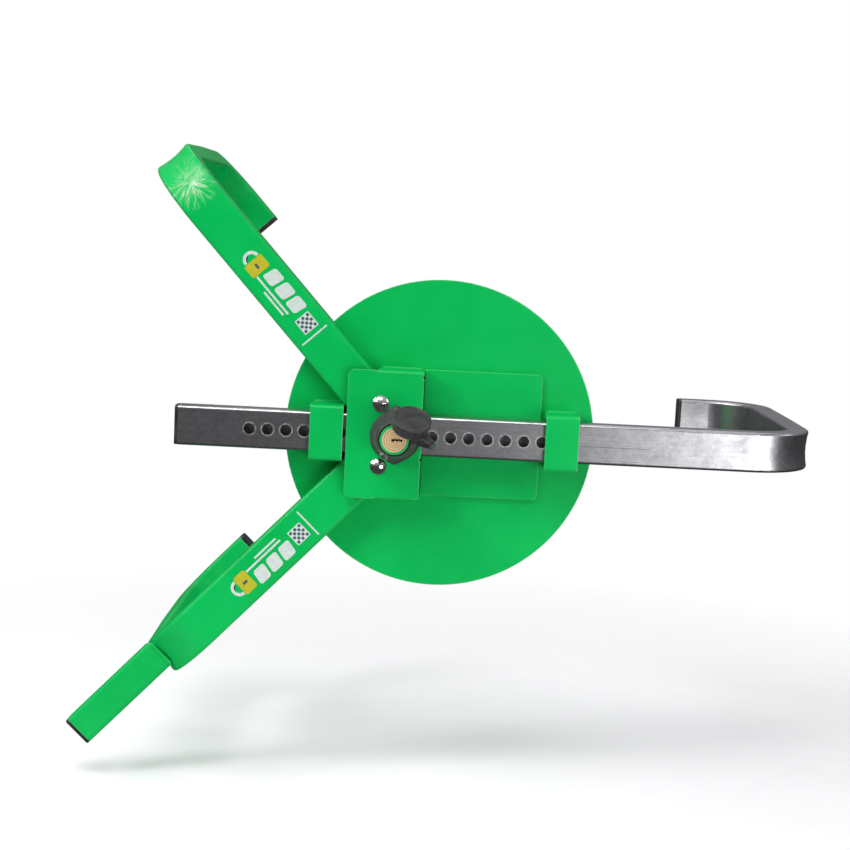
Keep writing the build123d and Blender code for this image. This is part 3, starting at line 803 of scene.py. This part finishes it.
def dust_strap():
    """The flat strap that hinges the cap: out of the collar's foot, forward, and into the cap."""
    from_cap = Vector((cos(strap_angle), sin(strap_angle), 0.0))
    on_level = Vector((0, 0, cap_level))
    strap_root = cap_frame @ (from_cap * 20.5 * MM + on_level)
    strap_in = cap_frame @ (from_cap * 26.0 * MM + on_level)
    from_lock = [(20.5, -34.0, -4.0), (27.5, -34.4, -5.4), (33.0, -40.0, -6.6), (34.0, -51.0, -6.0)]
    points = [Vector((lock_x + x * MM, y * MM, z * MM)) for x, y, z in from_lock]
    points += [strap_in, strap_root]
    path = smooth_path(points, 10)
    first_side = Vector((0.15, 0.0, 1.0)).normalized()
    last_side = (cap_frame.to_3x3() @ Vector((-sin(strap_angle), cos(strap_angle), 0.0))).normalized()
    if last_side.dot(first_side) < 0:
        last_side = -last_side
    rings = []
    for number, point in enumerate(path):
        t = number / (len(path) - 1)
        before, after = path[max(0, number - 1)], path[min(len(path) - 1, number + 1)]
        along = (after - before).normalized()
        side = first_side.lerp(last_side, t * t * (3 - 2 * t))
        side = (side - along * side.dot(along)).normalized()
        normal = along.cross(side)
        waist = 1.0 - 0.22 * sin(pi * t) ** 2
        rings.append(superellipse(point, side, normal, 3.5 * MM * waist, 1.1 * MM))
    maker = bmesh.new()
    add_rings(maker, rings)
    bmesh.ops.recalc_face_normals(maker, faces=maker.faces)
    piece = finish_mesh("dust_strap_rubber", maker, rubber, body=None)
    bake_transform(piece)
    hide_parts("dust_strap")


dust_strap()

# ---------------------------------------------------------------- weld beads


def weld_bead(name, start, end, up, radius=1.9 * MM):
    """A weld along an inside corner: overlapping scales, slightly uneven, under the paint."""
    along = (end - start).normalized()
    out = up.normalized()
    side = along.cross(out)
    length = (end - start).length
    count = max(8, int(length / (0.55 * MM)))
    pitch = 1.9 * MM
    rings = []
    for step in range(count + 1):
        s = length * step / count
        ripple = 0.10 * (1 - abs(((s / pitch) % 1.0) * 2 - 1))
        scale = 1.0 + ripple + 0.07 * noise.noise(start * 900 + along * s * 700)
        taper = min(1.0, 0.35 + s / (2.2 * MM), 0.35 + (length - s) / (2.2 * MM))
        centre = start + along * s
        width, height = radius * scale * taper, radius * 0.8 * scale * taper
        rings.append(superellipse(centre, side, out, width, height, 14, 2.0))
    maker = bmesh.new()
    add_rings(maker, rings)
    bmesh.ops.recalc_face_normals(maker, faces=maker.faces)
    finish_mesh(name, maker, finishes["green_paint"])


def keeper_welds():
    for keeper in ("left_keeper", "right_keeper"):
        low, high = box_of(keeper)
        for word, z, turn_out in (("top", high.z, 1), ("foot", low.z, -1)):
            start = Vector((low.x + 1.5 * MM, disc_low.y, z))
            end = Vector((high.x - 1.5 * MM, disc_low.y, z))
            weld_bead(f"{keeper}_weld_{word}", start, end, Vector((0, -1, turn_out)))


keeper_welds()

for word, z, turn_out in (("top", cover_high.z, 1), ("foot", cover_low.z, -1)):
    weld_bead(
        f"cover_weld_{word}",
        Vector((-53 * MM, disc_low.y, z)),
        Vector((cover_high.x - 2 * MM, disc_low.y, z)),
        Vector((0, -1, turn_out)),
        1.5 * MM,
    )

spur_depth = bend_radius + disc_low.y - tube_depth - (-1 * MM)
spur_foot = lower_reach - bend_radius + sqrt(bend_radius**2 - spur_depth**2)
weld_bead(
    "spur_weld",
    lower.at(spur_foot + 0.6 * MM, -17.0 * MM, -1 * MM),
    lower.at(spur_foot + 0.6 * MM, 9.0 * MM, -1 * MM),
    Vector((0, -1, 0)),
    1.7 * MM,
)

# ---------------------------------------------------------------- stickers on the fixed arms


def vinyl(name, colour, roughness):
    """Printed vinyl with faint mottling and a soft sheen."""
    m = Shader(name)
    mottle = m.noise(260.0, 3.0)
    darker = tuple(0.86 * c for c in colour)
    m.colour(m.mix(m.ramp(mottle, (0.3, 0.0), (0.7, 1.0)), darker, colour))
    m.rough(m.ramp(m.noise(90.0), (0.3, roughness), (0.7, roughness + 0.12)))
    m.normal(m.bump(m.noise(700.0, 2.0), 0.02 * MM, 0.3))
    return m.material


white_vinyl = vinyl("white_vinyl", (0.60, 0.68, 0.64), 0.32)
yellow_vinyl = vinyl("yellow_vinyl", (0.50, 0.46, 0.02), 0.32)
dark_ink = vinyl("dark_ink", (0.05, 0.10, 0.12), 0.4)
sticker_thickness = 0.12 * MM


def rounded_outline(half_length, half_width, corner, lean=0.0, count=6):
    """Corner-rounded oblong as (along, across) points, leaning by lean along per unit across."""
    points = []
    for quarter, (sx, sy) in enumerate(((1, 1), (-1, 1), (-1, -1), (1, -1))):
        for step in range(count + 1):
            angle = pi / 2 * (quarter + step / count)
            a = sx * (half_length - corner) + corner * cos(angle)
            b = sy * (half_width - corner) + corner * sin(angle)
            points.append((a + lean * b, b))
    return points


def arc_outline(radius, width, start, end, count=18):
    outer = [(radius + width / 2, start + (end - start) * k / count) for k in range(count + 1)]
    inner = [(radius - width / 2, end + (start - end) * k / count) for k in range(count + 1)]
    return [(r * cos(a), r * sin(a)) for r, a in outer + inner]


def sticker(name, arm, along, across, outline, material, layer=0):
    """A flat printed shape on an arm's front face; its outline is in metres round its middle."""
    back = arm_front - 0.02 * MM - layer * sticker_thickness
    front = back - sticker_thickness
    maker = bmesh.new()
    rows = [
        [maker.verts.new(arm.at(along + a, across + b, y)) for a, b in outline] for y in (back, front)
    ]
    for index in range(len(outline)):
        other = (index + 1) % len(outline)
        maker.faces.new((rows[0][index], rows[0][other], rows[1][other], rows[1][index]))
    maker.faces.new(reversed(rows[0]))
    maker.faces.new(rows[1])
    bmesh.ops.triangulate(maker, faces=[f for f in maker.faces if len(f.verts) > 4])
    bmesh.ops.recalc_face_normals(maker, faces=maker.faces)
    return finish_mesh(name, maker, material, smooth=False)


def label_set(word, arm, hand):
    """A plain padlock sign, three blocks, fine lines and a chequer, in place of printed words."""
    sign = 191 * MM
    sign_body = rounded_outline(6.5 * MM, 9.5 * MM, 2 * MM)
    sticker(f"{word}_sign_body", arm, sign, 0, sign_body, yellow_vinyl)
    shackle = [(b, a) for a, b in arc_outline(6.3 * MM, 2.8 * MM, 0.0, pi)]
    sticker(f"{word}_sign_shackle", arm, sign + 7.2 * MM, 0, shackle, white_vinyl)
    hole = rounded_outline(2.6 * MM, 1.2 * MM, 1.1 * MM)
    sticker(f"{word}_sign_hole", arm, sign, 0, hole, dark_ink, layer=1)
    for number in range(3):
        block = rounded_outline(6.3 * MM, 6.8 * MM, 2.6 * MM, lean=0.16)
        place = (174.5 - number * 15.2) * MM
        sticker(f"{word}_block_{number}", arm, place, hand * 4.8 * MM, block, white_vinyl)
    for number in range(2):
        line = rounded_outline((21 - 8 * number) * MM, 0.9 * MM, 0.6 * MM)
        place = (163 - 6 * number) * MM
        aside = -hand * (6.0 + 3.8 * number) * MM
        sticker(f"{word}_line_{number}", arm, place, aside, line, white_vinyl)
    tile = rounded_outline(7.5 * MM, 7.5 * MM, 0.8 * MM)
    sticker(f"{word}_tile", arm, 126 * MM, hand * 1.5 * MM, tile, white_vinyl)
    for row in range(5):
        for column in range(5):
            if (row + column) % 2 == 0:
                square = rounded_outline(1.25 * MM, 1.25 * MM, 0.2 * MM, count=2)
                place = (126 + (row - 2) * 2.6) * MM
                aside = (hand * 1.5 + (column - 2) * 2.6) * MM
                name = f"{word}_chequer_{row}{column}"
                sticker(name, arm, place, aside, square, dark_ink, layer=1)
    web = rounded_outline(0.7 * MM, 14 * MM, 0.5 * MM)
    sticker(f"{word}_end_line", arm, 113.5 * MM, 0, web, white_vinyl)


label_set("upper", upper, -1)
label_set("lower", lower, 1)
